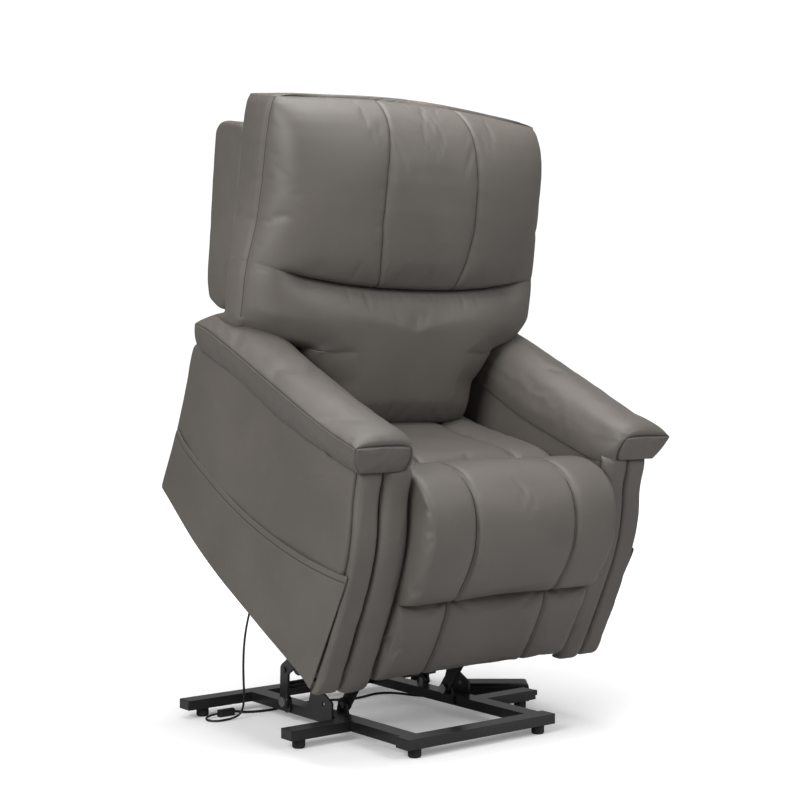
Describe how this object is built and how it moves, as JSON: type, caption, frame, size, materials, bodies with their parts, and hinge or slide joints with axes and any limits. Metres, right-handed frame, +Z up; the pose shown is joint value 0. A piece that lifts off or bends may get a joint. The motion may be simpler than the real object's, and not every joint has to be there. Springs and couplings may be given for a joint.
{
  "type": "lift recliner chair",
  "caption": "Powered lift recliner chair, raised and tipped forward on a steel lift base, with padded arms, a reclining back and a leg-rest.",
  "frame": {"origin": "middle of the chair's outline, on the floor", "axes": "+X to the sitter's left, +Y to the rear, +Z up"},
  "size_m": [0.86, 0.803, 1.3689],
  "materials": {
    "taupe_leather": "soft grained",
    "frame_wood": "plain sawn",
    "black_plastic": "matte",
    "motor_casing": "satin",
    "zinc_plated_steel": "bright zinc",
    "spring_steel": "dull",
    "black_rubber": "matte",
    "lead_sheath": "satin",
    "dust_cloth": "woven",
    "button_grey": "matte",
    "black_steel": "satin powder coat"
  },
  "bodies": {
    "lift_base": {"rail_left": "black_steel", "rail_right": "black_steel", "front_crossbar": "black_steel", "rear_crossbar": "black_steel", "outrigger_left": "black_steel", "outrigger_right": "black_steel", "base_end_caps": "black_plastic", "rubber_feet": "black_rubber", "lift_bracket_left": "black_steel", "lift_bracket_right": "black_steel", "base_pivot_bolts": "zinc_plated_steel", "motor_bracket": "black_steel", "power_supply": "black_plastic", "lead_connector": "black_plastic", "floor_lead": "lead_sheath", "hanging_lead": "lead_sheath"},
    "lift_links": {"rear_lift_link_left": "black_steel", "rear_lift_link_right": "black_steel", "lift_torque_tube": "black_steel"},
    "front_links": {"front_lift_link_left": "black_steel", "front_lift_link_right": "black_steel"},
    "lift_housing": {"lift_motor": "motor_casing"},
    "lift_rod": {"lift_rod": "zinc_plated_steel"},
    "chair": {"side_plate_left": "black_steel", "side_plate_right": "black_steel", "mechanism_front_bar": "black_steel", "mechanism_rear_bar": "black_steel", "mechanism_pivot_bolts": "zinc_plated_steel", "seat_frame": "frame_wood", "seat_springs": "spring_steel", "seat_cushion": "taupe_leather", "arm_body_left": "taupe_leather", "arm_body_right": "taupe_leather", "arm_front_strip_left": "taupe_leather", "arm_front_strip_right": "taupe_leather", "arm_roll_left": "taupe_leather", "arm_roll_right": "taupe_leather", "arm_cap_left": "taupe_leather", "arm_cap_right": "taupe_leather", "side_pocket_left": "taupe_leather", "side_pocket_right": "taupe_leather", "rear_cover": "dust_cloth", "handset": "black_plastic"},
    "raise_button_body": {"raise_button": "button_grey"},
    "lower_button_body": {"lower_button": "button_grey"},
    "back": {"headrest_pad": "taupe_leather", "lumbar_pad": "taupe_leather", "back_frame": "frame_wood", "back_shell": "taupe_leather", "back_pivot_frame": "black_steel"},
    "recline_housing": {"recline_motor": "motor_casing"},
    "recline_rod": {"recline_rod": "zinc_plated_steel"},
    "legrest_links": {"legrest_lower_links": "black_steel"},
    "upper_links": {"legrest_upper_links": "black_steel"},
    "legrest_pad": {"legrest_board": "frame_wood", "legrest_brackets": "black_steel", "legrest_roll": "taupe_leather", "legrest_panel": "taupe_leather"},
    "legrest_housing": {"legrest_motor": "motor_casing"},
    "legrest_rod": {"legrest_rod": "zinc_plated_steel"}
  },
  "joints": [
    {"name": "lift", "type": "hinge", "parent": "lift_base", "child": "lift_links", "pos_m": [0, 0.18909, 0.046], "axis": [1, 0, 0], "range_deg": [0, 37.84], "deforming": ["hanging_lead"]},
    {"name": "chair_tilt", "type": "hinge", "parent": "lift_links", "child": "chair", "pos_m": [0, -0.04916, 0.28022], "axis": [-1, 0, 0], "range_deg": [0, 66.17]},
    {"name": "front_links_turn", "type": "hinge", "parent": "lift_base", "child": "front_links", "pos_m": [0, 0.03909, 0.057], "axis": [1, 0, 0], "range_deg": [0, 44.99]},
    {"name": "lift_drive_tilt", "type": "hinge", "parent": "lift_base", "child": "lift_housing", "pos_m": [0, 0.30909, 0.08], "axis": [1, 0, 0], "range_deg": [0, 29.04]},
    {"name": "lift_rod_slide", "type": "slide", "parent": "lift_housing", "child": "lift_rod", "axis": [0, 0.7699, -0.6381], "range_m": [0, 0.04229]},
    {"name": "recline", "type": "hinge", "parent": "chair", "child": "back", "pos_m": [0, 0.22266, 0.73914], "axis": [-1, 0, 0], "range_deg": [0, 45]},
    {"name": "recline_drive_tilt", "type": "hinge", "parent": "chair", "child": "recline_housing", "pos_m": [-0.075, 0.00254, 0.39914], "axis": [1, 0, 0], "range_deg": [0, 2.24]},
    {"name": "recline_rod_slide", "type": "slide", "parent": "recline_housing", "child": "recline_rod", "axis": [0, -0.7291, -0.6844], "range_m": [0, 0.07509]},
    {"name": "legrest", "type": "hinge", "parent": "chair", "child": "legrest_links", "pos_m": [0, -0.13962, 0.48387], "axis": [-1, 0, 0], "range_deg": [0, 85]},
    {"name": "legrest_knee", "type": "hinge", "parent": "legrest_links", "child": "upper_links", "pos_m": [0, -0.04954, 0.31658], "axis": [1, 0, 0], "range_deg": [0, 120.16]},
    {"name": "legrest_board_turn", "type": "hinge", "parent": "upper_links", "child": "legrest_pad", "pos_m": [0, -0.2446, 0.4194], "axis": [-1, 0, 0], "range_deg": [0, 123.16]},
    {"name": "legrest_drive_tilt", "type": "hinge", "parent": "chair", "child": "legrest_housing", "pos_m": [0.075, 0.20844, 0.54408], "axis": [1, 0, 0], "range_deg": [0, 2.03]},
    {"name": "legrest_rod_slide", "type": "slide", "parent": "legrest_housing", "child": "legrest_rod", "axis": [0, -0.9616, -0.2745], "range_m": [0, 0.07849]},
    {"name": "raise_button_press", "type": "slide", "parent": "chair", "child": "raise_button_body", "axis": [-1, 0, 0], "range_m": [0, 0.0015], "stiffness_N_per_m": 400},
    {"name": "lower_button_press", "type": "slide", "parent": "chair", "child": "lower_button_body", "axis": [-1, 0, 0], "range_m": [0, 0.0015], "stiffness_N_per_m": 400}
  ],
  "couplings": [
    {"joint": "chair_tilt", "follows": "lift", "ratio": 1.7478},
    {"joint": "front_links_turn", "follows": "lift", "ratio": 1.1885},
    {"joint": "lift_drive_tilt", "follows": "lift", "ratio": 0.76717},
    {"joint": "lift_rod_slide", "follows": "lift", "m_per_rad": 0.063996},
    {"joint": "recline_drive_tilt", "follows": "recline", "ratio": 0.049779},
    {"joint": "recline_rod_slide", "follows": "recline", "m_per_rad": 0.095557},
    {"joint": "legrest_knee", "follows": "legrest", "ratio": 1.4129},
    {"joint": "legrest_board_turn", "follows": "legrest", "ratio": 1.4482},
    {"joint": "legrest_drive_tilt", "follows": "legrest", "ratio": 0.023895},
    {"joint": "legrest_rod_slide", "follows": "legrest", "m_per_rad": 0.052881}
  ]
}
